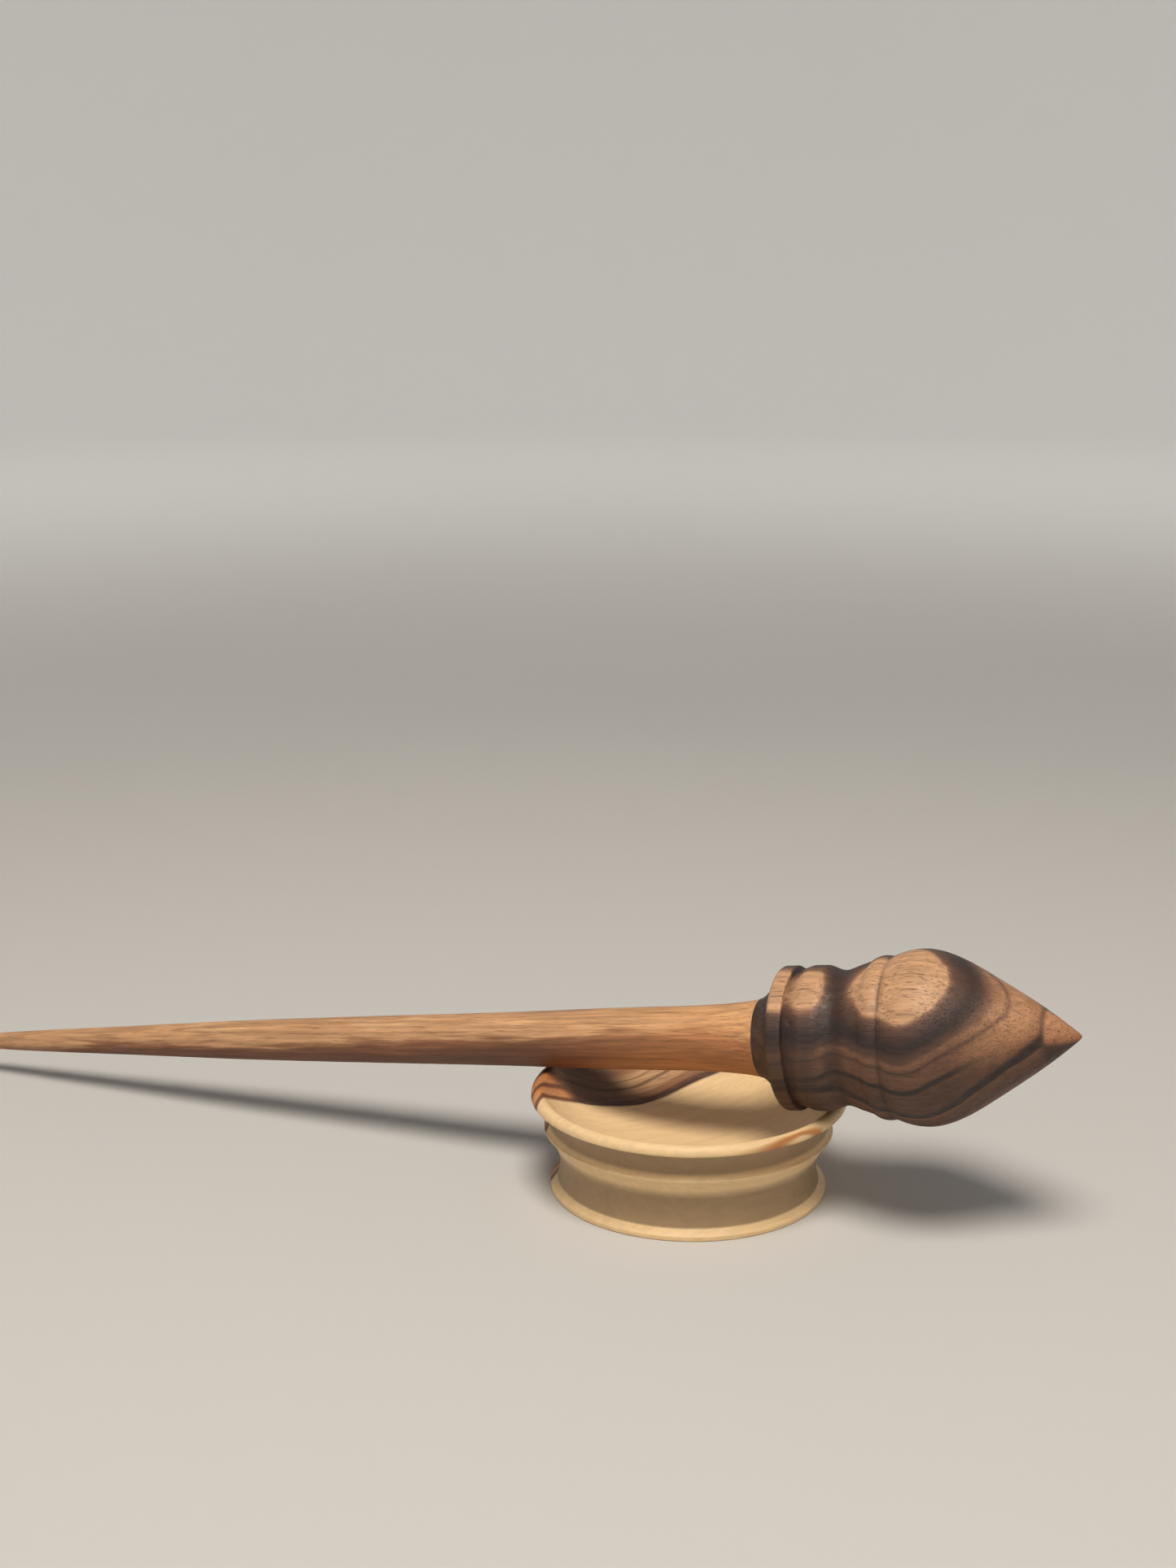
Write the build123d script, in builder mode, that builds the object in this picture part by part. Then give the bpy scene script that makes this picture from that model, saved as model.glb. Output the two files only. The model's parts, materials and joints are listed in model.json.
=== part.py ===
"""Support spindle lying across its turned lap bowl.

A hand-spinning spindle has a long tapered shaft glued into a heavy turned whorl with a
conical tip. In use the tip stands in the bowl's hollow while the spindle spins. Here the
spindle is laid to rest across the bowl: the whorl's collar is on the lip at one side and
the shaft is on the lip at the other.

Millimetres, +Z up. The origin is the centre of the bowl's flat foot, and the spindle's tip
points along +X. The spindle's axis lies in the XZ plane.
"""
from build123d import *
import os
from math import asin, cos, degrees, sin

os.makedirs("parts", exist_ok=True)

# ---- bowl, a turned disc with a dished top ----
BOWL_H = 19.7          # foot to the lip's crest
RIM_R = 30.0           # outside of the lip
LIP_ROUND = 1.4        # rounding of the lip's top
LIP_EDGE_Z = 18.0      # sharp lower edge of the lip
HOLLOW_Z = 10.8        # lowest point of the dish
GROOVE_R = 26.2        # bottom of the wide groove under the lip
GROOVE_Z = 15.1
BEAD_R = 27.5          # thin bead between the groove and the cove
BEAD_Z = 12.1
BEAD_ROUND = 0.3
COVE_R = 24.5          # waist of the cove
COVE_Z = 5.6
FOOT_R = 26.3          # outside of the foot
FOOT_TOP_R = 24.9      # where the foot's sloping top meets the cove
FOOT_TOP_Z = 2.05
FOOT_EDGE_Z = 1.1      # upper edge of the foot's side
FOOT_ROUND = 0.3

# ---- spindle, with S measured along its axis from the whorl's tip ----
SPINDLE_L = 258.0      # tip to far end
TIP_ROUND = 0.6        # radius of the worn point
CONE_HALF_ANGLE = 40   # degrees, at the point
BULB_S = 27.1          # widest place of the whorl
BULB_R = 16.05
CREASE_S = 33.5        # shallow crease between the bulb and its shoulder
CREASE_R = 14.75
SHOULDER_S = 37.2      # where the shoulder falls away to the neck
SHOULDER_R = 14.1
NECK_S = 42.7          # narrow neck beside the collar
NECK_R = 12.4
COLLAR_S = 46.2        # where the neck's rise meets the collar
COLLAR_R = 13.4        # both rings of the collar
RING_SLOPE_S = 48.2    # where the first ring starts to slope into the groove
RING_GROOVE_S = 51.5   # bottom of the groove, at the foot of the second ring
RING_GROOVE_R = 12.55
RING_WALL = 0.1        # lean of the second ring's steep side
RING_ROUND = 0.4       # rounding at the top of that side
COLLAR_END_S = 53.8    # where the second ring rounds off towards the shaft
COLLAR_ROUND = 0.9
FLARE_S = 54.9         # foot of the second ring's end, where the flare to the shaft starts
FLARE_R = 10.6
WHORL_END_S = 59.2     # whorl's end face, where the shaft comes out
SHAFT_ROOT_R = 7.35    # shaft where it meets the whorl
SHAFT_END_R = 0.8      # radius of the shaft's round far end

# ---- glued joint between shaft and whorl ----
TENON_R = 4.7
TENON_CHAMFER = 0.6
GLUE_LINE = 0.05       # radial room for glue
TENON_L = 21.5
BORE_L = 22.0

# ---- how the spindle lies on the bowl ----
REST_GAP = 0.15        # clearance between the two resting pieces
COLLAR_REST_S = 47.1   # where the collar is over the lip
SHAFT_REST_S = 103.9   # where the shaft is over the opposite lip
SHAFT_REST_R = 5.47    # shaft's radius there

lip_crest_r = RIM_R - LIP_ROUND
lip_z = BOWL_H - LIP_ROUND
collar_drop = COLLAR_R + REST_GAP + LIP_ROUND
shaft_drop = SHAFT_REST_R + REST_GAP + LIP_ROUND
tilt = asin((collar_drop - shaft_drop) / (2 * lip_crest_r))
tip_x = lip_crest_r - collar_drop * sin(tilt) + COLLAR_REST_S * cos(tilt)
tip_z = lip_z + collar_drop * cos(tilt) + COLLAR_REST_S * sin(tilt)

# In this plane X runs from the tip along the spindle and Y is the radius.
axis_direction = (-cos(tilt), 0, -sin(tilt))
spindle_plane = Plane(origin=(tip_x, 0, tip_z), x_dir=axis_direction, z_dir=(0, 1, 0))
spindle_axis = Axis((tip_x, 0, tip_z), axis_direction)


# ---- support bowl ----
with BuildPart() as support_bowl:
    with BuildSketch(Plane.XZ):
        with BuildLine():
            Line((0, HOLLOW_Z), (0, 0))
            Line((0, 0), (FOOT_R - FOOT_ROUND, 0))
            foot_edge = RadiusArc((FOOT_R - FOOT_ROUND, 0), (FOOT_R, FOOT_ROUND), -FOOT_ROUND)
            Line(foot_edge @ 1, (FOOT_R, FOOT_EDGE_Z - FOOT_ROUND))
            foot_top = RadiusArc(
                (FOOT_R, FOOT_EDGE_Z - FOOT_ROUND), (FOOT_R - 0.2, FOOT_EDGE_Z), -FOOT_ROUND
            )
            Line(foot_top @ 1, (FOOT_TOP_R, FOOT_TOP_Z))
            cove = Spline(
                (FOOT_TOP_R, FOOT_TOP_Z),
                (COVE_R, COVE_Z),
                (BEAD_R - 0.15, BEAD_Z - BEAD_ROUND + 0.05),
                tangents=[(-0.35, 1), (1, 1.1)],
            )
            bead = RadiusArc(cove @ 1, (BEAD_R - 0.2, BEAD_Z + BEAD_ROUND - 0.05), -BEAD_ROUND)
            groove = ThreePointArc(bead @ 1, (GROOVE_R, GROOVE_Z), (RIM_R - 0.3, LIP_EDGE_Z - 0.15))
            lip_edge = RadiusArc(groove @ 1, (RIM_R - 0.03, lip_z - 0.02), -0.4)
            lip_top = RadiusArc(lip_edge @ 1, (lip_crest_r, BOWL_H), -LIP_ROUND)
            lip_inside = CenterArc((lip_crest_r, lip_z), LIP_ROUND, 90, 50)
            Spline(
                lip_inside @ 1,
                (20.0, 13.75),
                (10.0, 11.5),
                (0, HOLLOW_Z),
                tangents=[lip_inside % 1, (-1, 0)],
            )
        make_face()
    revolve(axis=Axis.Z)
support_bowl.part.label = "support_bowl"
export_step(support_bowl.part, "parts/support_bowl.step")


# ---- whorl ----
with BuildPart() as whorl:
    with BuildSketch(spindle_plane):
        with BuildLine():
            tip = CenterArc((TIP_ROUND, 0), TIP_ROUND, 180, CONE_HALF_ANGLE - 90)
            nose = Spline(
                tip @ 1,
                (6.9, 5.52),
                (15.4, 10.97),
                (23.8, 15.35),
                (BULB_S, BULB_R),
                (CREASE_S, CREASE_R),
                tangents=[(1, 0.84), (1, -0.45)],
            )
            shoulder = ThreePointArc(nose @ 1, (34.8, 15.0), (SHOULDER_S, SHOULDER_R))
            neck = Spline(
                (SHOULDER_S, SHOULDER_R),
                (39.9, 13.2),
                (NECK_S, NECK_R),
                (44.5, 12.85),
                (COLLAR_S, COLLAR_R),
                tangents=[(1, -0.4), (1, 0)],
            )
            ring_a = Line(neck @ 1, (RING_SLOPE_S, COLLAR_R))
            ring_groove = Spline(
                ring_a @ 1,
                (49.8, 12.97),
                (RING_GROOVE_S, RING_GROOVE_R),
                tangents=[(1, 0), (1, -0.15)],
            )
            ring_wall = Line(ring_groove @ 1, (RING_GROOVE_S + RING_WALL, COLLAR_R - RING_ROUND))
            ring_b_start = RadiusArc(
                ring_wall @ 1, (RING_GROOVE_S + RING_WALL + RING_ROUND, COLLAR_R), RING_ROUND
            )
            ring_b = Line(ring_b_start @ 1, (COLLAR_END_S, COLLAR_R))
            ring_b_end = RadiusArc(
                ring_b @ 1, (COLLAR_END_S + COLLAR_ROUND, COLLAR_R - COLLAR_ROUND), COLLAR_ROUND
            )
            Line(ring_b_end @ 1, (FLARE_S, FLARE_R))
            end_flare = Spline(
                (FLARE_S, FLARE_R),
                (56.0, 9.85),
                (57.6, 8.3),
                (WHORL_END_S, SHAFT_ROOT_R),
                tangents=[(1, -0.35), (1, -0.22)],
            )
            bore_mouth = Line(end_flare @ 1, (WHORL_END_S, TENON_R + GLUE_LINE))
            bore_wall = Line(bore_mouth @ 1, (WHORL_END_S - BORE_L, TENON_R + GLUE_LINE))
            Line(bore_wall @ 1, (WHORL_END_S - BORE_L, 0))
            Line((WHORL_END_S - BORE_L, 0), (0, 0))
        make_face()
    revolve(axis=spindle_axis)
whorl.part.label = "whorl"
export_step(whorl.part, "parts/whorl.step")


# ---- spindle shaft, with the tenon that is glued into the whorl ----
tenon_end_s = WHORL_END_S - TENON_L
with BuildPart() as spindle_shaft:
    with BuildSketch(spindle_plane):
        with BuildLine():
            tenon_end = Line((tenon_end_s, 0), (tenon_end_s, TENON_R - TENON_CHAMFER))
            chamfer_line = Line(tenon_end @ 1, (tenon_end_s + TENON_CHAMFER, TENON_R))
            tenon_side = Line(chamfer_line @ 1, (WHORL_END_S, TENON_R))
            Line(tenon_side @ 1, (WHORL_END_S, SHAFT_ROOT_R))
            taper = Spline(
                (WHORL_END_S, SHAFT_ROOT_R),
                (65.2, 6.55),
                (84.7, 5.97),
                (SHAFT_REST_S, SHAFT_REST_R),
                (141, 4.7),
                (170, 4.05),
                (200, 3.02),
                (232, 1.83),
                (SPINDLE_L - SHAFT_END_R, SHAFT_END_R),
                tangents=[(1, -0.22), (1, 0)],
            )
            CenterArc((SPINDLE_L - SHAFT_END_R, 0), SHAFT_END_R, 0, 90)
            Line((SPINDLE_L, 0), (tenon_end_s, 0))
        make_face()
    revolve(axis=spindle_axis)
spindle_shaft.part.label = "spindle_shaft"
export_step(spindle_shaft.part, "parts/spindle_shaft.step")

print("tilt", round(degrees(tilt), 3), "deg; tip at x", round(tip_x, 3), "z", round(tip_z, 3))
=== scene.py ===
"""Looks of the support spindle lying across its lap bowl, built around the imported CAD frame.

Each of the three turned pieces is a dense closed lathe mesh on the CAD outline, with fine relief cut
into it, and a solid wood material that follows the wood's own fibres and growth layers. Outlines are
in millimetres along each piece's turning axis. Blender objects are in metres.
"""
import json
from math import cos, pi, radians, sin

import bpy
import numpy as np
from mathutils import Matrix, Vector, noise


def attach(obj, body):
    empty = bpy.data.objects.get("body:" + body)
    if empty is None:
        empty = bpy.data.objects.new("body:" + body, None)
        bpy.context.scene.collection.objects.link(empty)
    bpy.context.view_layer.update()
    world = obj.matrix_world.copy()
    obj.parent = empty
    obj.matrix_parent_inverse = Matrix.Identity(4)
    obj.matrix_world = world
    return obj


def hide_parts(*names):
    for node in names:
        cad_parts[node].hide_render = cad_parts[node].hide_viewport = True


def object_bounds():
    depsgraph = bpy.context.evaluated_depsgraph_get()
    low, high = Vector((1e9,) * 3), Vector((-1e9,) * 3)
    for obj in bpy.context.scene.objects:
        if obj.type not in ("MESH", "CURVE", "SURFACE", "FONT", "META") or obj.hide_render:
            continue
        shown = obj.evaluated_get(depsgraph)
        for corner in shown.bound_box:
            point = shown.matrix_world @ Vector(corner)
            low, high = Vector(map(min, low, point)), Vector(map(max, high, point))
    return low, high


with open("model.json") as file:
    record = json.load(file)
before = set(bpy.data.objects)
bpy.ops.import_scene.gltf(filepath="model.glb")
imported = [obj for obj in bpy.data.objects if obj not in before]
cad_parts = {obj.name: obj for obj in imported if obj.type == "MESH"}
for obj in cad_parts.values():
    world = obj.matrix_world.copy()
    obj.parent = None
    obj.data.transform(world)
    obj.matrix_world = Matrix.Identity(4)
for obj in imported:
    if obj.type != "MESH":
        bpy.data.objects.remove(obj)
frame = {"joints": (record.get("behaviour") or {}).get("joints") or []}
cad_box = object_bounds()

MM = 0.001

# ---- camera, at the photograph's viewing angle ----
CAMERA_AT = (0.13102, -0.3825, 0.1786)
CAMERA_AZIMUTH = 21.62   # degrees from +Y towards -X
CAMERA_PITCH = 13.87     # degrees down
CAMERA_LENS = 51.97      # mm, on a 36 mm sensor

# ---- bowl ----
BOWL_H = 19.7
RIM_R = 30.0
LIP_ROUND = 1.4
LIP_EDGE_Z = 18.0
HOLLOW_Z = 10.8
GROOVE_R = 26.2
GROOVE_Z = 15.1
BEAD_R = 27.5
BEAD_Z = 12.1
BEAD_ROUND = 0.3
COVE_R = 24.5
COVE_Z = 5.6
FOOT_R = 26.3
FOOT_TOP_R = 24.9
FOOT_TOP_Z = 2.05
FOOT_EDGE_Z = 1.1
FOOT_ROUND = 0.3
LIP_INSIDE_TURN = 50     # degrees of the lip's rounding inside its crest

# ---- spindle, with S measured along its axis from the tip ----
SPINDLE_L = 258.0
TIP_ROUND = 0.6
CONE_HALF_ANGLE = 40
BULB_S = 27.1
BULB_R = 16.05
CREASE_S = 33.5
CREASE_R = 14.75
SHOULDER_S = 37.2
SHOULDER_R = 14.1
NECK_S = 42.7
NECK_R = 12.4
COLLAR_S = 46.2
COLLAR_R = 13.4
RING_SLOPE_S = 48.2
RING_GROOVE_S = 51.5
RING_GROOVE_R = 12.55
RING_WALL = 0.1
RING_ROUND = 0.4
COLLAR_END_S = 53.8
COLLAR_ROUND = 0.9
FLARE_S = 54.9
FLARE_R = 10.6
WHORL_END_S = 59.2
SHAFT_ROOT_R = 7.35
SHAFT_END_R = 0.8
TENON_R = 4.7
TENON_CHAMFER = 0.6
TENON_L = 21.5
GLUE_LINE = 0.05
BORE_L = 22.0

# ---- where the pieces are: each is turned about X, with Z up and Y to the near side ----
spin = frame["joints"][0]
SPINDLE_TIP = Vector(spin["pos_m"])
SPINDLE_WAY = -Vector(spin["axis"]).normalized()
SPINDLE_UP = (Vector((0, 0, 1)) - SPINDLE_WAY * SPINDLE_WAY.z).normalized()
SPINDLE_NEAR = SPINDLE_UP.cross(SPINDLE_WAY)
SPINDLE_AXES = Matrix([SPINDLE_WAY, SPINDLE_NEAR, SPINDLE_UP]).transposed()
SPINDLE_PLACE = Matrix.Translation(SPINDLE_TIP) @ SPINDLE_AXES.to_4x4()
BOWL_PLACE = Matrix(((0, 1, 0, 0), (0, 0, 1, 0), (1, 0, 0, 0), (0, 0, 0, 1)))

# ---- mesh fineness, mm along an outline and points round it ----
STEP = 0.25
GROOVE_STEP = 0.15
FINE_STEP = 0.08
HIDDEN_STEP = 1.5
WHORL_SEGMENTS = 296
SHAFT_SEGMENTS = 112
BOWL_SEGMENTS = 336
SHARP_ANGLE = radians(38)
RELIEF_FADE = 0.4        # mm over which the relief fades out where the outside ends

# ---- grooves, by how far they lie below the outline averaged over a width, mm ----
HOLLOW_WIDTH = 1.6
HOLLOW_DEEP = 0.35
RECESS_WIDTH = 3.5
RECESS_SHALLOW = 0.1
RECESS_DEEP = 0.5


# ======== outlines ========
def line(start, end, step=STEP):
    """Points from start to end, with end left out, as in every curve here."""
    start, end = np.array(start, float), np.array(end, float)
    count = max(1, int(np.ceil(np.hypot(*(end - start)) / step)))
    share = np.arange(count)[:, None] / count
    return start + (end - start) * share


def arc(centre, radius, first_angle, turned, step=FINE_STEP):
    """Points on an arc that starts at first_angle and turns by that many degrees."""
    count = max(4, int(np.ceil(abs(radians(turned)) * radius / step)))
    angle = np.radians(first_angle + turned * np.arange(count) / count)
    return np.array(centre) + radius * np.column_stack([np.cos(angle), np.sin(angle)])


def round_edge(start, end, radius, step=FINE_STEP):
    """Points on the shorter arc of that radius, bulging to the left of the way from start to end."""
    start, end = np.array(start, float), np.array(end, float)
    chord = end - start
    half = np.hypot(*chord) / 2
    to_centre = np.array([chord[1], -chord[0]]) / (2 * half)
    centre = (start + end) / 2 + to_centre * np.sqrt(max(0.0, radius**2 - half**2))
    first = np.degrees(np.arctan2(*(start - centre)[::-1]))
    last = np.degrees(np.arctan2(*(end - centre)[::-1]))
    return arc(centre, radius, first, (last - first + 180) % 360 - 180, step)


def arc_through(start, middle, end, step=STEP):
    """Points on the arc through three points."""
    start, middle, end = (np.array(p, float) for p in (start, middle, end))
    rows = 2 * np.array([middle - start, end - start])
    centre = np.linalg.solve(rows, [middle @ middle - start @ start, end @ end - start @ start])
    first = np.degrees(np.arctan2(*(start - centre)[::-1]))
    last = np.degrees(np.arctan2(*(end - centre)[::-1]))
    return arc(centre, np.hypot(*(start - centre)), first, (last - first + 180) % 360 - 180, step)


def spline(points, first_way, last_way, step=STEP):
    """Points on the smooth curve through points that sets off along first_way and arrives along last_way."""
    points = np.array(points, float)
    gaps = np.hypot(*np.diff(points, axis=0).T)
    steepness = np.diff(points, axis=0) / gaps[:, None]
    count = len(points)
    matrix, right = np.eye(count), np.zeros((count, 2))
    right[0] = np.array(first_way) / np.hypot(*first_way)
    right[-1] = np.array(last_way) / np.hypot(*last_way)
    for i in range(1, count - 1):
        before, after = gaps[i - 1], gaps[i]
        matrix[i, i - 1 : i + 2] = after, 2 * (before + after), before
        right[i] = 3 * (after * steepness[i - 1] + before * steepness[i])
    slopes = np.linalg.solve(matrix, right)
    stretches = []
    for i, gap in enumerate(gaps):
        steps = max(2, int(np.ceil(gap / step)))
        t = np.arange(steps)[:, None] / steps
        stretches.append(
            (2 * t**3 - 3 * t**2 + 1) * points[i]
            + (t**3 - 2 * t**2 + t) * gap * slopes[i]
            + (3 * t**2 - 2 * t**3) * points[i + 1]
            + (t**3 - t**2) * gap * slopes[i + 1]
        )
    return np.concatenate(stretches)


# Each outline function gives the hidden stretches before the outside, the outside's stretches, the hidden
# ones after it, and the end point on the axis.
def whorl_outline():
    """(S, R) from the tip over the outside, then back along the bore to the axis."""
    touch = radians(90 + CONE_HALF_ANGLE)
    nose_start = (TIP_ROUND + TIP_ROUND * cos(touch), TIP_ROUND * sin(touch))
    groove_bottom = (RING_GROOVE_S, RING_GROOVE_R)
    wall_top = (RING_GROOVE_S + RING_WALL, COLLAR_R - RING_ROUND)
    ring_b = (wall_top[0] + RING_ROUND, COLLAR_R)
    ring_b_end = (COLLAR_END_S + COLLAR_ROUND, COLLAR_R - COLLAR_ROUND)
    bore_mouth = (WHORL_END_S, TENON_R + GLUE_LINE)
    bore_corner = (WHORL_END_S - BORE_L, TENON_R + GLUE_LINE)
    outside = [
        arc((TIP_ROUND, 0), TIP_ROUND, 180, CONE_HALF_ANGLE - 90),
        spline([nose_start, (6.9, 5.52), (15.4, 10.97), (23.8, 15.35), (BULB_S, BULB_R),
                (CREASE_S, CREASE_R)], (1, 0.84), (1, -0.45)),
        arc_through((CREASE_S, CREASE_R), (34.8, 15.0), (SHOULDER_S, SHOULDER_R)),
        spline([(SHOULDER_S, SHOULDER_R), (39.9, 13.2), (NECK_S, NECK_R), (44.5, 12.85),
                (COLLAR_S, COLLAR_R)], (1, -0.4), (1, 0)),
        line((COLLAR_S, COLLAR_R), (RING_SLOPE_S, COLLAR_R)),
        spline([(RING_SLOPE_S, COLLAR_R), (49.8, 12.97), groove_bottom], (1, 0), (1, -0.15),
               GROOVE_STEP),
        line(groove_bottom, wall_top, GROOVE_STEP),
        round_edge(wall_top, ring_b, RING_ROUND),
        line(ring_b, (COLLAR_END_S, COLLAR_R)),
        round_edge((COLLAR_END_S, COLLAR_R), ring_b_end, COLLAR_ROUND, GROOVE_STEP),
        line(ring_b_end, (FLARE_S, FLARE_R)),
        spline([(FLARE_S, FLARE_R), (56.0, 9.85), (57.6, 8.3), (WHORL_END_S, SHAFT_ROOT_R)],
               (1, -0.35), (1, -0.22)),
    ]
    inside = [
        line((WHORL_END_S, SHAFT_ROOT_R), bore_mouth, HIDDEN_STEP),
        line(bore_mouth, bore_corner, HIDDEN_STEP),
        line(bore_corner, (bore_corner[0], 0), HIDDEN_STEP),
    ]
    return [], outside, inside, (bore_corner[0], 0)


def shaft_outline():
    """(S, R) from the tenon's end over the tenon, then along the taper to the round far end."""
    tenon_end = WHORL_END_S - TENON_L
    tenon_edge = (tenon_end, TENON_R - TENON_CHAMFER)
    tenon_start = (tenon_end + TENON_CHAMFER, TENON_R)
    hidden = [
        line((tenon_end, 0), tenon_edge, HIDDEN_STEP),
        line(tenon_edge, tenon_start, HIDDEN_STEP),
        line(tenon_start, (WHORL_END_S, TENON_R), HIDDEN_STEP),
        line((WHORL_END_S, TENON_R), (WHORL_END_S, SHAFT_ROOT_R), HIDDEN_STEP),
    ]
    outside = [
        spline([(WHORL_END_S, SHAFT_ROOT_R), (65.2, 6.55), (84.7, 5.97), (103.9, 5.47), (141, 4.7),
                (170, 4.05), (200, 3.02), (232, 1.83), (SPINDLE_L - SHAFT_END_R, SHAFT_END_R)],
               (1, -0.22), (1, 0)),
        arc((SPINDLE_L - SHAFT_END_R, 0), SHAFT_END_R, 90, -90),
    ]
    return hidden, outside, [], (SPINDLE_L, 0)


def bowl_outline():
    """(height, radius) from under the foot, over the outside and the lip, to the middle of the dish."""
    foot_side = (FOOT_EDGE_Z - FOOT_ROUND, FOOT_R)
    foot_slope = (FOOT_EDGE_Z, FOOT_R - 0.2)
    cove_top = (BEAD_Z - BEAD_ROUND + 0.05, BEAD_R - 0.15)
    bead_top = (BEAD_Z + BEAD_ROUND - 0.05, BEAD_R - 0.2)
    lip_low = (LIP_EDGE_Z - 0.15, RIM_R - 0.3)
    lip_z, crest_r = BOWL_H - LIP_ROUND, RIM_R - LIP_ROUND
    lip_side = (lip_z - 0.02, RIM_R - 0.03)
    turned = radians(LIP_INSIDE_TURN)
    dish_edge = (lip_z + LIP_ROUND * cos(turned), crest_r - LIP_ROUND * sin(turned))
    foot = [line((0, 0), (0, FOOT_R - FOOT_ROUND), HIDDEN_STEP)]
    outside = [
        round_edge((0, FOOT_R - FOOT_ROUND), (FOOT_ROUND, FOOT_R), FOOT_ROUND),
        line((FOOT_ROUND, FOOT_R), foot_side),
        round_edge(foot_side, foot_slope, FOOT_ROUND),
        line(foot_slope, (FOOT_TOP_Z, FOOT_TOP_R)),
        spline([(FOOT_TOP_Z, FOOT_TOP_R), (COVE_Z, COVE_R), cove_top], (1, -0.35), (1.1, 1)),
        round_edge(cove_top, bead_top, BEAD_ROUND),
        arc_through(bead_top, (GROOVE_Z, GROOVE_R), lip_low),
        round_edge(lip_low, lip_side, 0.4),
        round_edge(lip_side, (BOWL_H, crest_r), LIP_ROUND),
        arc((lip_z, crest_r), LIP_ROUND, 0, -LIP_INSIDE_TURN),
        spline([dish_edge, (13.75, 20.0), (11.5, 10.0), (HOLLOW_Z, 0)],
               (-sin(turned), -cos(turned)), (0, -1)),
    ]
    return foot, outside, [], (HOLLOW_Z, 0)


# ======== turned meshes ========
def smoothed(values, length, width):
    """values averaged over about width each way, where length is measured along the outline."""
    weights = np.exp(-0.5 * ((length[:, None] - length[None, :]) / width) ** 2)
    return weights / weights.sum(1, keepdims=True) @ values


def sunk(rings, length, outwards, width, shallow, deep):
    """0 to 1, as each ring lies from shallow to deep mm below the outline averaged over width."""
    depth = ((smoothed(rings, length, width) - rings) * outwards).sum(1)
    return np.clip((depth - shallow) / (deep - shallow), 0, 1)


def turned_piece(name, outline, segments, relief, place):
    """A closed mesh turned about X, then put in its place by that matrix.

    relief(x, y, z) gives the depth in mm that is cut below the outline at each point of the outside.
    The mesh keeps two attributes for its material: hollow is 1 in narrow grooves, and recess is 1 in
    wide ones, where they face away from the turning axis. The materials darken both as painted shade.
    """
    hidden_before, outside, hidden_after, end = outline
    counts = [sum(len(part) for part in group) for group in (hidden_before, outside, hidden_after)]
    points = np.concatenate(hidden_before + outside + hidden_after)
    shown = np.repeat([0.0, 1.0, 0.0], counts)
    first, rings, shown = points[0], points[1:], shown[1:]
    length = np.append(0, np.cumsum(np.hypot(*np.diff(rings, axis=0).T)))
    way = np.gradient(rings, length, axis=0)
    way /= np.hypot(*way.T)[:, None]
    outwards = np.column_stack([-way[:, 1], way[:, 0]])
    hollow = sunk(rings, length, outwards, HOLLOW_WIDTH, 0.0, HOLLOW_DEEP) * shown
    # faces_out is 1 where the surface faces away from the axis, and 0 where it faces mostly along it
    faces_out = np.clip((outwards[:, 1] - 0.65) / 0.2, 0, 1)
    recess = sunk(rings, length, outwards, RECESS_WIDTH, RECESS_SHALLOW, RECESS_DEEP) * faces_out * shown
    fade = np.clip(smoothed(shown, length, RELIEF_FADE) * 2 - 1, 0, 1) * shown
    angle = 2 * pi * np.arange(segments) / segments
    x, radius = rings[:, :1], rings[:, 1:]
    ring_x = np.repeat(x, segments, 1)
    depth = relief(ring_x, radius * np.sin(angle), radius * np.cos(angle)) * fade[:, None]
    cut_x, cut_radius = x + depth * way[:, 1:], radius - depth * way[:, :1]
    body = np.stack([cut_x, cut_radius * np.sin(angle), cut_radius * np.cos(angle)], -1).reshape(-1, 3)
    poles = [[first[0], 0, 0], [end[0], 0, 0]]
    grid = np.arange(len(body)).reshape(len(rings), segments)
    ahead = np.roll(grid, -1, 1)
    sides = np.stack([grid[:-1], grid[1:], ahead[1:], ahead[:-1]], -1).reshape(-1, 4)
    start_fan = np.column_stack([np.full(segments, len(body)), grid[0], ahead[0]])
    end_fan = np.column_stack([np.full(segments, len(body) + 1), ahead[-1], grid[-1]])
    mesh = bpy.data.meshes.new(name)
    faces = sides.tolist() + start_fan.tolist() + end_fan.tolist()
    mesh.from_pydata((np.concatenate([body, poles]) * MM).tolist(), [], faces)
    for key, values in (("hollow", hollow), ("recess", recess)):
        attribute = mesh.attributes.new(key, "FLOAT", "POINT")
        at_points = np.append(np.repeat(values, segments), [0, 0])
        attribute.data.foreach_set("value", at_points.astype(np.float32))
    mesh.transform(place)
    mesh.shade_smooth()
    mesh.set_sharp_from_angle(angle=SHARP_ANGLE)
    piece = bpy.data.objects.new(name, mesh)
    bpy.context.scene.collection.objects.link(piece)
    return piece


def grain(x, y, z, cells, seed):
    """Smooth noise from -1 to 1, with that many cells per mm along x, y and z."""
    spots = zip((x * cells[0] + seed).ravel(), (y * cells[1]).ravel(), (z * cells[2]).ravel())
    return np.fromiter((noise.noise(spot) for spot in spots), float, x.size).reshape(x.shape)


def near(x, places, width):
    """1 at each place, falling off over width."""
    return sum(np.exp(-(((x - place) / width) ** 2)) for place in places)


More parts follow.
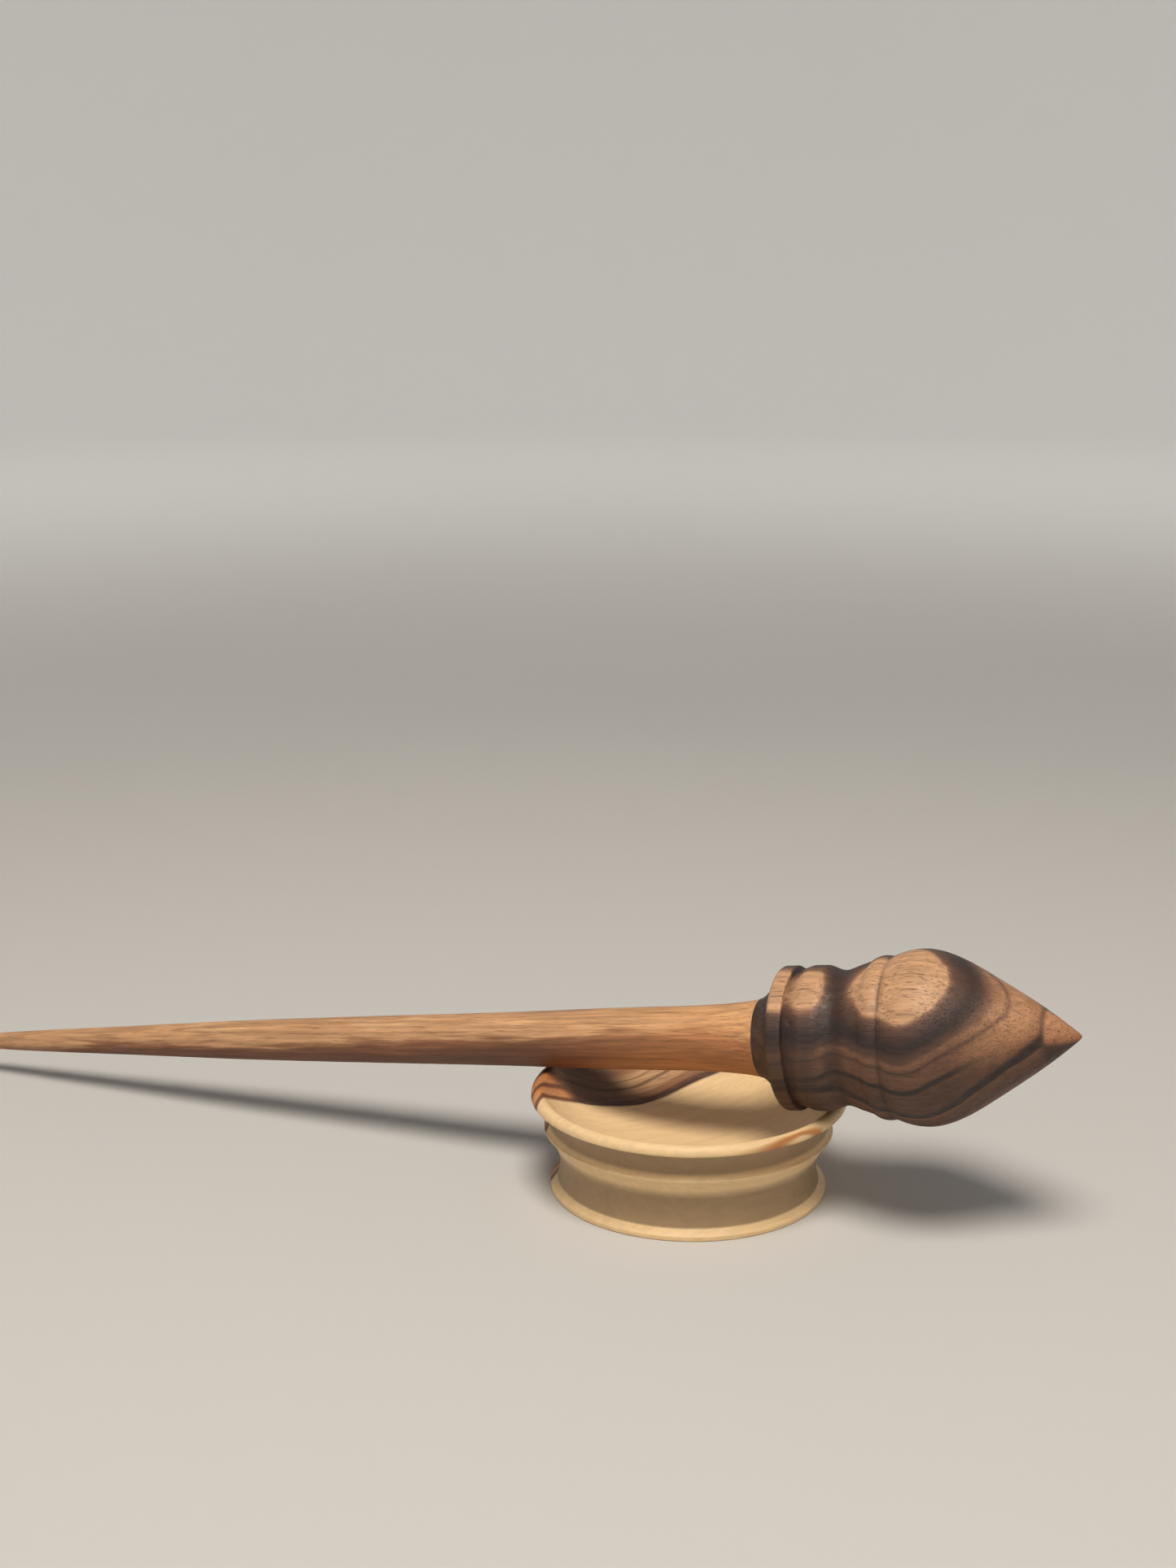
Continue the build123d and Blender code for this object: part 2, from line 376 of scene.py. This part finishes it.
def whorl_relief(x, y, z):
    """Raised grain, open pores, faint tool marks, and a little torn wood in the collar's groove."""
    ridges = 0.022 * (1 + grain(x, y, z, (0.22, 1.25, 1.25), 3.1))
    pores = 0.07 * np.clip(grain(x, y, z, (0.3, 1.9, 1.9), 11.7) - 0.3, 0, 1)
    tool_marks = 0.004 * (1 + np.sin(2 * pi * x / 0.9 + 2 * grain(x, y, z, (0.3, 0.2, 0.2), 5.0)))
    torn = near(x, (RING_GROOVE_S - 0.9,), 1.1)
    nicks = 0.6 * torn * np.clip(grain(x, y, z, (0.5, 0.7, 0.7), 21.3) - 0.22, 0, 1)
    return ridges + pores + tool_marks + nicks


def shaft_relief(x, y, z):
    """Long raised grain and the slight unevenness of hand sanding."""
    ridges = 0.014 * (1 + grain(x, y, z, (0.1, 1.3, 1.3), 8.2))
    sanding = 0.03 * (1 + grain(x, y, z, (0.03, 0.12, 0.12), 2.4))
    return ridges + sanding


def bowl_relief(x, y, z):
    """Faint tool marks round the turning, under a fine flat grain."""
    radius = np.hypot(y, z)
    tool_marks = 0.004 * (1 + np.sin(2 * pi * (radius + x) / 1.1))
    fibre = (0.6 * y + 0.8 * z, 0.8 * y - 0.6 * z)
    return tool_marks + 0.007 * (1 + grain(fibre[0], fibre[1], x, (0.15, 1.2, 1.2), 6.6))


# ======== wood materials ========
# the way of the bowl's fibres, and the level way across its growth layers
BOWL_FIBRE = (-0.618, -0.786, 0)
BOWL_LAYER = (0.786, -0.618, 0)


def linear(srgb):
    """A colour of three values from 0 to 255, as the shader's linear colour."""
    shares = [value / 255 for value in srgb]
    return [s / 12.92 if s <= 0.04045 else ((s + 0.055) / 1.055) ** 2.4 for s in shares] + [1.0]


class Wood:
    """A wood material whose figure is laid out in mm along its fibres, across its layers, and sideways."""

    def __init__(self, name, centre, fibre, layer):
        self.material = bpy.data.materials.new(name)
        self.material.use_nodes = True
        self.tree = self.material.node_tree
        self.tree.nodes.clear()
        place = self.node("ShaderNodeTexCoord").outputs["Object"]
        from_centre = self.vector("SUBTRACT", place, tuple(centre))
        self.point = self.vector("SCALE", from_centre, Scale=1 / MM)
        fibre = Vector(fibre).normalized()
        layer = (Vector(layer) - fibre * fibre.dot(layer)).normalized()
        self.along = self.dot(fibre)
        self.across = self.dot(layer)
        self.sideways = self.dot(fibre.cross(layer))

    def node(self, kind, inputs=None, **settings):
        made = self.tree.nodes.new(kind)
        for key, value in settings.items():
            setattr(made, key, value)
        for key, value in (inputs or {}).items():
            if isinstance(value, bpy.types.NodeSocket):
                self.tree.links.new(value, made.inputs[key])
            else:
                made.inputs[key].default_value = value
        return made

    def math(self, operation, first, second=0.0, third=0.0, clamp=False):
        inputs = {0: first, 1: second, 2: third}
        return self.node("ShaderNodeMath", inputs, operation=operation, use_clamp=clamp).outputs[0]

    def vector(self, operation, first, second=None, Scale=None):
        inputs = {0: first}
        if second is not None:
            inputs[1] = second
        if Scale is not None:
            inputs["Scale"] = Scale
        made = self.node("ShaderNodeVectorMath", inputs, operation=operation)
        return made.outputs["Value" if operation == "DOT_PRODUCT" else "Vector"]

    def dot(self, way):
        return self.vector("DOT_PRODUCT", self.point, tuple(way))

    def noise(self, along, across, seed=0.0, detail=2.0, roughness=0.5):
        """Noise from 0 to 1, with that many cells per mm along the fibres and across them."""
        x = self.math("MULTIPLY_ADD", self.along, along, seed)
        y = self.math("MULTIPLY", self.across, across)
        z = self.math("MULTIPLY", self.sideways, across)
        spot = self.node("ShaderNodeCombineXYZ", {0: x, 1: y, 2: z}).outputs[0]
        inputs = {"Vector": spot, "Scale": 1.0, "Detail": detail, "Roughness": roughness}
        return self.node("ShaderNodeTexNoise", inputs, noise_dimensions="3D").outputs[0]

    def hump(self, place, width):
        """1 at that place along the grain, falling off smoothly over width."""
        off = self.math("MULTIPLY_ADD", self.along, 1 / width, -place / width)
        return self.math("POWER", 2.718, self.math("MULTIPLY", self.math("MULTIPLY", off, off), -1.0))

    def attribute(self, name):
        return self.node("ShaderNodeAttribute", attribute_name=name).outputs["Fac"]

    def between(self, value, low, high, to_low=0.0, to_high=1.0):
        """value taken from the range low..high to to_low..to_high, with smooth ends."""
        inputs = {0: value, 1: low, 2: high, 3: to_low, 4: to_high}
        return self.node("ShaderNodeMapRange", inputs, interpolation_type="SMOOTHSTEP").outputs[0]

    def bands(self, value, stops):
        """The colour at value, from stops of (place, colour) with places in mm."""
        low, high = stops[0][0], stops[-1][0]
        share = self.node("ShaderNodeMapRange", {0: value, 1: low, 2: high}).outputs[0]
        ramp = self.node("ShaderNodeValToRGB", {0: share})
        ramp.color_ramp.interpolation = "LINEAR"
        elements = ramp.color_ramp.elements
        for i, (place, colour) in enumerate(stops):
            position = (place - low) / (high - low)
            stop = elements[i] if i < len(elements) else elements.new(position)
            stop.position = position
            stop.color = linear(colour)
        return ramp.outputs[0]

    def mix(self, share, first, second, blend="MIX"):
        inputs = {0: share, 6: first, 7: second}
        made = self.node("ShaderNodeMix", inputs, data_type="RGBA", blend_type=blend)
        return made.outputs[2]

    def finish(self, colour, roughness, heights):
        """Closes the material. heights are (value, mm) pairs that raise the surface by up to that much."""
        normal = None
        for value, height in heights:
            inputs = {"Height": value, "Distance": height * MM, "Strength": 1.0}
            if normal is not None:
                inputs["Normal"] = normal
            normal = self.node("ShaderNodeBump", inputs).outputs[0]
        inputs = {"Base Color": colour, "Roughness": roughness, "IOR": 1.5, "Normal": normal}
        shader = self.node("ShaderNodeBsdfPrincipled", inputs)
        shader.inputs["Coat Weight"].default_value = 0.05
        shader.inputs["Coat Roughness"].default_value = 0.4
        self.node("ShaderNodeOutputMaterial", {0: shader.outputs[0]})
        return self.material


def round_spindle(degrees):
    """The way straight out from the spindle's axis, that far round from up towards the near side."""
    return SPINDLE_UP * cos(radians(degrees)) + SPINDLE_NEAR * sin(radians(degrees))


def whorl_wood():
    """Dark striped wood: the pale heart of each oval, then brown and near-black layers round it."""
    core, tan, brown, rust = (196, 151, 112), (176, 130, 92), (112, 78, 60), (94, 58, 39)
    edge, grey, dark, black = (126, 90, 68), (136, 102, 80), (70, 48, 38), (44, 30, 25)
    wood = Wood("whorl_wood", SPINDLE_TIP, SPINDLE_WAY, round_spindle(26))
    # The growth layers run nearly along the axis, waved and rippled. Their level in mm is lifted over the
    # bulb and its shoulder, a little in the upper layers and much more in the lower ones.
    tilted = wood.math("MULTIPLY_ADD", wood.along, 0.05, -1.525)
    plain = wood.math("ADD", wood.across, tilted)
    wave = wood.math("MULTIPLY_ADD", wood.noise(0.05, 0.08, 4.0, 0.0), 1.8, -0.9)
    ripple = wood.math("MULTIPLY_ADD", wood.noise(0.09, 0.5, 9.0, 2.0), 0.7, -0.35)
    wave = wood.math("ADD", wave, ripple)
    plain = wood.math("ADD", plain, wave)
    bulge = wood.math("MULTIPLY", wood.hump(30, 6), wood.math("MULTIPLY_ADD", plain, -0.1, 2.3))
    collar = wood.between(wood.along, 42, 46, 0.0, 0.5)
    upper = wood.math("ADD", wood.math("ADD", plain, bulge), collar)
    lower = wood.math("ADD", plain, wood.math("MULTIPLY", wood.hump(28, 13), 6.5))
    # The middle layers, below the pale oval, get browns darker than the wood's own: partly painted shade on
    # the whorl's lower side.
    heart = wood.bands(upper, [
        (1.0, (84, 55, 40)), (3.0, (90, 60, 43)), (3.5, black), (4.0, black), (4.5, (104, 70, 50)),
        (5.6, (108, 73, 52)), (6.8, (104, 70, 50)), (7.3, (74, 49, 37)), (7.8, (112, 77, 55)),
        (8.5, (122, 85, 61)), (9.1, (84, 57, 44)), (9.8, dark), (10.4, black), (11.3, black),
        (12.5, dark), (13.0, (80, 56, 45)), (13.5, (102, 71, 54)), (13.8, edge), (14.2, core), (17, core),
    ])
    # The lower layers' browns are darker than the wood's own too: partly painted shade on the whorl's
    # underside.
    outer = wood.bands(lower, [
        (-14, tan), (-12.2, tan), (-11.4, dark), (-10.4, black), (-9.6, brown), (-7.4, rust), (-6.9, dark),
        (-6.2, brown), (-3.4, rust), (-2.8, dark), (-1.9, rust), (-0.6, (94, 62, 43)),
        (0.8, (112, 75, 52)), (1.2, black), (2.2, black), (3.0, (80, 54, 40)), (4.2, (96, 65, 47)),
    ])
    # Towards the tip the layers on the cone's upper side turn pale tan: partly the wood's own tone, partly
    # painted light there.
    to_tip = wood.between(wood.along, 8, 22, 1.0, 0.0)
    heart = wood.mix(to_tip, heart, wood.bands(upper, [
        (1.0, (110, 73, 50)), (2.6, (128, 87, 59)), (3.4, (158, 111, 77)),
        (5.2, (178, 129, 91)), (6.9, (186, 138, 98)), (7.4, (136, 96, 70)), (7.9, (184, 137, 98)),
        (8.8, (180, 134, 98)), (9.6, (146, 104, 78)), (10.4, (106, 76, 60)), (11.3, (84, 59, 48)),
        (11.9, (96, 68, 55)), (12.4, (126, 92, 72)), (13.1, grey), (13.7, edge), (14.3, core), (17, core),
    ]))
    colour = wood.mix(wood.between(lower, 2.6, 3.4), outer, heart)
    # The cone's last stretch is lighter above the axis and darker below it, behind a thin dark line: partly
    # painted light and shade on the cone.
    tip_side = wood.bands(wood.math("MULTIPLY_ADD", wood.along, -0.5, wood.across), [
        (-3, (58, 38, 29)), (-1.1, (76, 50, 37)), (-0.2, (156, 105, 71)), (1.5, (180, 129, 92)),
    ])
    colour = wood.mix(wood.between(wood.along, 6.4, 5.6), colour, tip_side)
    colour = wood.mix(wood.math("MULTIPLY", wood.hump(6.2, 0.45), 0.6), colour, linear(dark))
    # The collar is darker below its pale ovals.
    at_collar = wood.math("MULTIPLY", wood.between(wood.along, 44, 47), wood.between(upper, 12.3, 10.3))
    colour = wood.mix(wood.math("MULTIPLY", at_collar, 0.6), colour, linear((52, 36, 29)))
    streaks = wood.between(wood.noise(0.03, 0.9, 13.0, 3.0), 0.3, 0.7, 0.84, 1.12)
    colour = wood.vector("SCALE", colour, Scale=streaks)
    dashes = wood.between(wood.noise(0.16, 2.2, 17.0, 2.0), 0.52, 0.7)
    colour = wood.mix(wood.math("MULTIPLY", dashes, 0.38), colour, linear((70, 46, 34)))
    pores = wood.between(wood.noise(0.3, 5.0, 37.0, 1.0), 0.6, 0.72)
    colour = wood.mix(wood.math("MULTIPLY", pores, 0.45), colour, linear((48, 32, 26)))
    # The narrow grooves are darkened in patches, and the neck a little: painted shade in these recesses.
    patches = wood.between(wood.noise(0.1, 0.3, 41.0), 0.3, 0.7, 0.15, 0.7)
    groove_shade = wood.math("MULTIPLY", wood.attribute("hollow"), patches)
    colour = wood.mix(groove_shade, colour, linear((36, 24, 19)))
    shade = wood.math("MULTIPLY", wood.attribute("recess"), 0.4)
    colour = wood.mix(shade, colour, linear((44, 29, 22)))
    roughness = wood.between(wood.noise(0.1, 1.5, 23.0), 0.3, 0.7, 0.5, 0.66)
    fibres = wood.noise(0.15, 4.5, 29.0, 3.0)
    return wood.finish(colour, roughness, [(fibres, 0.06), (wood.math("MULTIPLY", pores, -1.0), 0.08)])


def shaft_wood():
    """Pale tan wood with long wavy streaks, browner along one side."""
    wood = Wood("shaft_wood", SPINDLE_TIP, SPINDLE_WAY, round_spindle(20))
    # The growth layers lie askew to the axis, so the wood gets paler towards the thin end.
    drift = wood.math("MULTIPLY_ADD", wood.along, 0.033, -7.5)
    wave = wood.math("MULTIPLY_ADD", wood.noise(0.035, 0.2, 2.0, 1.0), 4.0, -2.0)
    flames = wood.math("MULTIPLY_ADD", wood.noise(0.11, 1.1, 31.0, 2.0), 4.6, -2.3)
    level = wood.math("ADD", wood.math("ADD", wood.across, drift), wood.math("ADD", wave, flames))
    colour = wood.bands(level, [
        (-8, (124, 80, 52)), (-4.5, (106, 66, 42)), (-2.2, (116, 73, 48)), (-1.0, (138, 92, 62)),
        (-0.2, (168, 122, 86)), (0.5, (198, 152, 110)), (1.7, (190, 143, 102)), (2.6, (208, 163, 119)),
        (5, (200, 154, 111)), (8, (212, 168, 124)),
    ])
    # Next to the whorl it is warmer and orange, without the dark layers: painted light bounced up from the
    # cream bowl.
    bowl_bounce_light = wood.between(wood.along, 66, 102, 0.85, 0.0)
    colour = wood.mix(bowl_bounce_light, colour, wood.bands(level, [
        (-7, (176, 118, 74)), (-2.0, (184, 124, 78)), (0.2, (212, 160, 108)), (4, (216, 168, 118)),
    ]))
    streaks = wood.between(wood.noise(0.035, 1.3, 13.0, 3.0), 0.3, 0.7, 0.76, 1.14)
    colour = wood.vector("SCALE", colour, Scale=streaks)
    dashes = wood.between(wood.noise(0.12, 2.2, 19.0, 2.0), 0.52, 0.7)
    colour = wood.mix(wood.math("MULTIPLY", dashes, 0.42), colour, linear((110, 70, 44)))
    pores = wood.between(wood.noise(0.25, 5.0, 17.0, 1.0), 0.6, 0.74)
    colour = wood.mix(wood.math("MULTIPLY", pores, 0.35), colour, linear((96, 62, 42)))
    roughness = wood.between(wood.noise(0.1, 1.5, 23.0), 0.3, 0.7, 0.5, 0.64)
    fibres = wood.noise(0.1, 4.5, 29.0, 3.0)
    return wood.finish(colour, roughness, [(fibres, 0.04), (wood.math("MULTIPLY", pores, -1.0), 0.05)])


def bowl_wood():
    """Cream sapwood, with streaked brown heartwood behind a curved growth layer at one side."""
    wood = Wood("bowl_wood", (0, 0, 0), BOWL_FIBRE, BOWL_LAYER)
    # The heartwood ends where level is 0. Its edge bends away along the fibres, and swings in and out.
    bend = wood.math("MAXIMUM", wood.math("SUBTRACT", wood.along, 14.0), 0.0)
    bend = wood.math("MULTIPLY", wood.math("MULTIPLY", bend, bend), -0.0275)
    swing = wood.math("COSINE", wood.math("MULTIPLY_ADD", wood.along, 1 / 4.5, -3 / 4.5))
    swing = wood.math("MULTIPLY_ADD", swing, -0.9, 13.9)
    wave = wood.math("MULTIPLY_ADD", wood.noise(0.08, 0.2, 3.0, 2.0), 1.4, -0.7)
    level = wood.math("ADD", wood.math("ADD", wood.across, bend), wood.math("ADD", swing, wave))
    cream, tan, light = (234, 201, 152), (186, 145, 104), (198, 158, 116)
    brown, dark, black = (142, 100, 69), (86, 55, 38), (54, 34, 25)
    colour = wood.bands(level, [
        (-16, brown), (-13.5, (166, 122, 86)), (-12.6, (112, 76, 52)), (-11.8, (160, 118, 82)),
        (-9.8, brown), (-9.0, (172, 130, 92)), (-8.0, light),
        (-7.7, brown), (-7.2, light), (-6.0, tan), (-5.6, dark), (-5.0, tan), (-3.9, tan), (-3.2, brown),
        (-2.2, brown), (-1.6, dark), (-0.3, black), (0.3, cream), (9, cream), (10, (231, 197, 148)),
        (12, cream), (19, cream), (20, (230, 196, 147)), (22, cream), (42.4, cream),
        (42.8, (190, 132, 76)), (43.2, (168, 106, 54)), (43.6, cream), (44, (230, 195, 146)),
    ])
    lip_side = wood.bands(level, [
        (-12, (120, 78, 50)), (-8.2, (150, 98, 62)), (-7.4, (84, 50, 32)), (-6.6, (92, 56, 36)),
        (-5.9, (186, 124, 74)), (-4.4, (200, 138, 86)), (-3.9, (104, 62, 38)), (-3.4, (112, 68, 42)),
        (-2.9, (196, 134, 84)), (-1.5, (206, 146, 94)), (-1.0, (112, 68, 42)), (-0.3, (128, 80, 50)),
        (0.3, cream), (40, cream),
    ])
    # Orange and dark streaks run over the lip. The heartwood in the dish under the spindle is darkened:
    # partly its own darker wood, partly painted shadow of the spindle.
    on_lip = wood.math("MULTIPLY", wood.between(wood.along, 14, 19), wood.between(level, 1, 3, 1.0, 0.0))
    colour = wood.mix(on_lip, colour, lip_side)
    heart_and_spindle_shadow = wood.math("MULTIPLY", wood.between(wood.along, 0, 6), wood.between(wood.along, 18, 14))
    heart_and_spindle_shadow = wood.math("MULTIPLY", heart_and_spindle_shadow, wood.between(level, -0.4, 0.3, 0.8, 0.0))
    colour = wood.mix(heart_and_spindle_shadow, colour, linear((62, 40, 30)))
    streaks = wood.between(wood.noise(0.02, 0.9, 13.0, 3.0), 0.3, 0.7, 0.94, 1.04)
    colour = wood.vector("SCALE", colour, Scale=streaks)
    in_heart = wood.between(level, -0.5, 0.3, 1.0, 0.0)
    dashes = wood.between(wood.noise(0.05, 2.6, 19.0, 2.0), 0.48, 0.66)
    shade = wood.math("MULTIPLY", dashes, wood.math("MULTIPLY_ADD", in_heart, 0.45, 0.05))
    colour = wood.mix(shade, colour, linear((118, 76, 50)))
    pores = wood.between(wood.noise(0.25, 4.5, 17.0, 1.0), 0.62, 0.76)
    colour = wood.mix(wood.math("MULTIPLY", pores, 0.12), colour, linear((150, 108, 70)))
    # A darker tone in the groove and the cove stands in for some of the photo's shading there.
    shade = wood.math("MULTIPLY", wood.attribute("recess"), 0.62)
    colour = wood.mix(shade, colour, linear((92, 64, 42)))
    roughness = wood.between(wood.noise(0.1, 1.5, 23.0), 0.3, 0.7, 0.48, 0.62)
    fibres = wood.noise(0.1, 4.0, 29.0, 3.0)
    return wood.finish(colour, roughness, [(fibres, 0.012)])


# ======== the three pieces ========
def stand_for(piece, node, body, material):
    """Gives a piece its material, puts it on that CAD node's body and hides the node, so the piece shows in
    its place.
    """
    piece.data.materials.append(material)
    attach(piece, body)
    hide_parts(node)


def make_whorl():
    whorl = turned_piece("turned_whorl", whorl_outline(), WHORL_SEGMENTS, whorl_relief, SPINDLE_PLACE)
    stand_for(whorl, "whorl", "spindle", whorl_wood())


def make_shaft():
    shaft = turned_piece("turned_shaft", shaft_outline(), SHAFT_SEGMENTS, shaft_relief, SPINDLE_PLACE)
    stand_for(shaft, "spindle_shaft", "spindle", shaft_wood())


def make_bowl():
    bowl = turned_piece("turned_bowl", bowl_outline(), BOWL_SEGMENTS, bowl_relief, BOWL_PLACE)
    stand_for(bowl, "support_bowl", "bowl", bowl_wood())


# ======== camera, floor and light ========
def make_camera():
    camera = bpy.data.objects.new("camera", bpy.data.cameras.new("camera"))
    camera.location = CAMERA_AT
    camera.rotation_euler = (radians(90 - CAMERA_PITCH), 0, radians(CAMERA_AZIMUTH))
    camera.data.lens = CAMERA_LENS
    camera.data.clip_start = 0.01
    bpy.context.scene.collection.objects.link(camera)
    bpy.context.scene.camera = camera


def make_floor():
    """A wide pale floor that curves up into a wall all round, far from the object."""
    middle_r, flat_r, wall_r, wall_h = 0.3, 1.6, 2.6, 2.2
    segments, bend_rows = 96, 17
    bend = [(flat_r + (wall_r - flat_r) * sin(a), (wall_r - flat_r) * (1 - cos(a)))
            for a in np.linspace(0, pi / 2, bend_rows)]
    outline = [(middle_r, 0.0)] + bend + [(wall_r, wall_h)]
    points = [(r * cos(2 * pi * k / segments), r * sin(2 * pi * k / segments), h)
              for r, h in outline for k in range(segments)] + [(0, 0, 0)]
    faces = [(i * segments + k, i * segments + (k + 1) % segments,
              (i + 1) * segments + (k + 1) % segments, (i + 1) * segments + k)
             for i in range(len(outline) - 1) for k in range(segments)]
    faces += [(len(points) - 1, (k + 1) % segments, k) for k in range(segments)]
    mesh = bpy.data.meshes.new("studio_floor")
    mesh.from_pydata(points, [], faces)
    mesh.shade_smooth()
    floor = bpy.data.objects.new("studio_floor", mesh)
    bpy.context.scene.collection.objects.link(floor)
    paint = bpy.data.materials.new("pale_floor")
    paint.use_nodes = True
    shader = paint.node_tree.nodes["Principled BSDF"]
    shader.inputs["Base Color"].default_value = (0.58, 0.57, 0.555, 1)
    shader.inputs["Roughness"].default_value = 0.85
    mesh.materials.append(paint)


def soft_light(name, place, aim, size, power, colour):
    """A round area light of that size in metres and power in watts, turned from place towards aim."""
    light = bpy.data.lights.new(name, "AREA")
    light.shape, light.size = "DISK", size
    light.energy, light.color = power, colour
    holder = bpy.data.objects.new(name, light)
    holder.location = place
    holder.rotation_euler = (Vector(place) - Vector(aim)).to_track_quat("Z", "Y").to_euler()
    bpy.context.scene.collection.objects.link(holder)


def make_lights():
    """A key light above and in front, a weak front light, and lights for the wall that miss the object."""
    near_white = (1.0, 0.98, 0.95)
    aim = (cad_box[0] + cad_box[1]) / 2
    soft_light("key_light", (0.10, -0.33, 0.87), aim, 0.40, 7.9, (1.0, 0.93, 0.84))
    soft_light("front_light", (-0.35, -1.1, 0.75), aim, 0.8, 0.3, (1.0, 0.97, 0.93))
    for number in range(8):
        turned = radians(45 * number)
        place = (1.1 * cos(turned), 1.1 * sin(turned), 1.1)
        wall_spot = (2.2 * cos(turned), 2.2 * sin(turned), 0.4)
        soft_light("wall_light_%d" % number, place, wall_spot, 1.0, 7.5, near_white)
    world = bpy.data.worlds.new("studio_air")
    world.use_nodes = True
    world.node_tree.nodes["Background"].inputs["Color"].default_value = (*near_white, 1)
    world.node_tree.nodes["Background"].inputs["Strength"].default_value = 0.14
    bpy.context.scene.world = world


make_camera()
make_bowl()
make_whorl()
make_shaft()
make_floor()
make_lights()
bpy.context.scene.view_settings.view_transform = "Standard"
